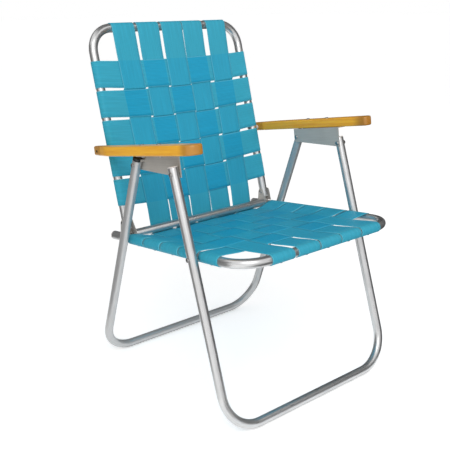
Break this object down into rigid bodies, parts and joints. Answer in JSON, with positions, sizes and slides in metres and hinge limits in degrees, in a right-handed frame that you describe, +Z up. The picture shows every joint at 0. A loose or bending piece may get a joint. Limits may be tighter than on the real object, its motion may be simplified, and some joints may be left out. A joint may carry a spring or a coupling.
{
  "type": "folding_webbed_lawn_chair",
  "caption": "Folding lawn chair of bent aluminium tube with woven turquoise webbing, varnished wooden arms and sheet-metal arm brackets, standing open",
  "frame": {"origin": "on the floor, in the middle of the chair's outside box", "axes": "+X is the sitter's left, +Y points to the rear of the chair and +Z up"},
  "size_m": [0.593, 0.6182, 0.8876],
  "materials": {
    "aluminium_tube": "satin",
    "sheet_metal": "satin",
    "steel": "satin",
    "wood": "semi-gloss",
    "webbing": "satin",
    "black_plastic": "satin",
    "pale_plastic": "satin"
  },
  "bodies": {
    "front_legs": {"front_leg_frame": "aluminium_tube", "front_leg_plug_left": "pale_plastic", "front_leg_plug_right": "pale_plastic", "seat_pivot_bolt_left": "steel", "seat_pivot_bolt_right": "steel"},
    "seat": {"seat_frame": "aluminium_tube", "seat_crossbar": "aluminium_tube", "crossbar_bolt_left": "steel", "crossbar_bolt_right": "steel", "seat_plug_left": "pale_plastic", "seat_plug_right": "pale_plastic", "hinge_clip_left": "sheet_metal", "hinge_clip_right": "sheet_metal", "back_hinge_pin_left": "steel", "back_hinge_pin_right": "steel", "hinge_rivet_left": "steel", "hinge_rivet_right": "steel", "seat_strap_long_1": "webbing", "seat_strap_long_2": "webbing", "seat_strap_long_3": "webbing", "seat_strap_long_4": "webbing", "seat_strap_long_5": "webbing", "seat_strap_cross_1": "webbing", "seat_strap_cross_2": "webbing", "seat_strap_cross_3": "webbing", "seat_strap_cross_4": "webbing", "seat_strap_cross_5": "webbing"},
    "back": {"back_frame": "aluminium_tube", "back_plug_left": "pale_plastic", "back_plug_right": "pale_plastic", "back_strap_vertical_1": "webbing", "back_strap_vertical_2": "webbing", "back_strap_vertical_3": "webbing", "back_strap_vertical_4": "webbing", "back_strap_vertical_5": "webbing", "back_strap_row_1": "webbing", "back_strap_row_2": "webbing", "back_strap_row_3": "webbing", "back_strap_row_4": "webbing", "back_strap_row_5": "webbing"},
    "arms": {"armrest_left": "wood", "armrest_right": "wood", "arm_bracket_left": "sheet_metal", "arm_bracket_right": "sheet_metal", "arm_screw_front_left": "steel", "arm_screw_front_right": "steel", "arm_screw_rear_left": "steel", "arm_screw_rear_right": "steel", "front_leg_rivet_left": "steel", "front_leg_rivet_right": "steel", "rear_leg_rivet_left": "steel", "rear_leg_rivet_right": "steel", "back_pivot_screw_left": "steel", "back_pivot_screw_right": "steel", "back_pivot_spacer_left": "pale_plastic", "back_pivot_spacer_right": "pale_plastic"},
    "rear_legs": {"rear_leg_frame": "aluminium_tube", "rear_leg_cap_left": "black_plastic", "rear_leg_cap_right": "black_plastic"}
  },
  "joints": [
    {"name": "seat_fold", "type": "hinge", "parent": "front_legs", "child": "seat", "pos_m": [0, -0.14806, 0.39546], "axis": [1, 0, 0], "range_deg": [0, 62]},
    {"name": "arm_fold", "type": "hinge", "parent": "front_legs", "child": "arms", "pos_m": [0, -0.09394, 0.57759], "axis": [1, 0, 0], "range_deg": [0, 62]},
    {"name": "back_fold", "type": "hinge", "parent": "seat", "child": "back", "pos_m": [0, 0.1656, 0.40039], "axis": [-1, 0, 0], "range_deg": [0, 62]},
    {"name": "rear_leg_fold", "type": "hinge", "parent": "arms", "child": "rear_legs", "pos_m": [0, 0.05673, 0.57364], "axis": [-1, 0, 0], "range_deg": [0, 99.2]}
  ],
  "couplings": [
    {"joint": "arm_fold", "follows": "seat_fold", "ratio": 1},
    {"joint": "back_fold", "follows": "seat_fold", "ratio": 1},
    {"joint": "rear_leg_fold", "follows": "seat_fold", "ratio": 1.6}
  ]
}
